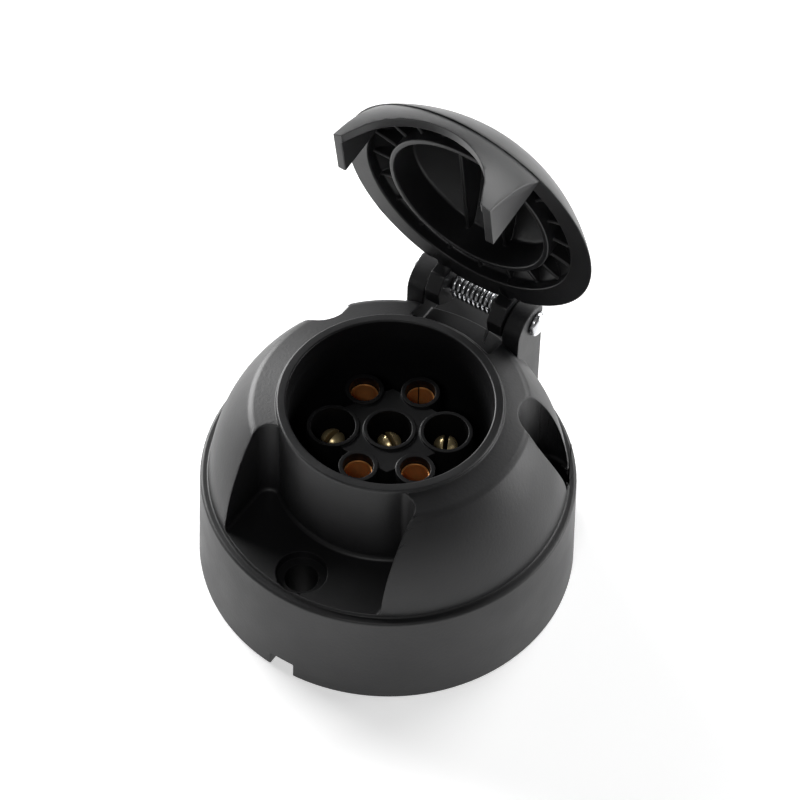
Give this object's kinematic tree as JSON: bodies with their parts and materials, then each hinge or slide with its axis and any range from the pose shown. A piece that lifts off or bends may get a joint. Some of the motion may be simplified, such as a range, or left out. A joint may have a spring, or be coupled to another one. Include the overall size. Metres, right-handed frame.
{
  "type": "trailer wiring socket",
  "caption": "Round plastic trailer wiring socket with a hinged, sprung dust lid, pin and sleeve contacts, a hollow mounting skirt and three bolt holes.",
  "frame": {"origin": "centre of the mounting hole circle on the rear face of the skirt", "axes": "+Z out of the socket along its axis, +Y towards the lid's hinge, +X to the right seen with the hinge at the top"},
  "size_m": [0.0802, 0.0807, 0.1135],
  "materials": {
    "housing_plastic": "fine moulded grain, satin",
    "lid_plastic": "smooth satin with fine grain",
    "insert_plastic": "smooth satin",
    "contact_brass": "turned, lightly polished",
    "contact_copper": "drawn and rolled, satin",
    "plated_steel": "bright zinc plate",
    "spring_steel": "bright drawn wire"
  },
  "bodies": {
    "socket": {"housing": "housing_plastic", "contact_insert": "insert_plastic", "hinge_pin": "plated_steel", "pin_washer": "plated_steel", "lid_spring": "spring_steel", "insert_screw_1": "plated_steel", "insert_screw_2": "plated_steel", "insert_screw_3": "plated_steel", "pin_contact_1": "contact_brass", "pin_contact_2": "contact_brass", "pin_contact_3": "contact_brass", "contact_sleeve_1": "contact_copper", "contact_sleeve_2": "contact_copper", "contact_sleeve_3": "contact_copper", "contact_sleeve_4": "contact_copper", "sleeve_terminal_1": "contact_brass", "sleeve_terminal_2": "contact_brass", "sleeve_terminal_3": "contact_brass", "sleeve_terminal_4": "contact_brass", "clamp_screw_1": "plated_steel", "clamp_screw_2": "plated_steel", "clamp_screw_3": "plated_steel", "clamp_screw_4": "plated_steel", "clamp_screw_5": "plated_steel", "clamp_screw_6": "plated_steel", "clamp_screw_7": "plated_steel"},
    "lid": {"lid": "lid_plastic"}
  },
  "joints": [
    {"name": "lid_hinge", "type": "hinge", "parent": "socket", "child": "lid", "pos_m": [0, 0.0338, 0.049], "axis": [1, 0, 0], "range_deg": [-17, 80.5], "deforming": ["lid_spring"]}
  ]
}
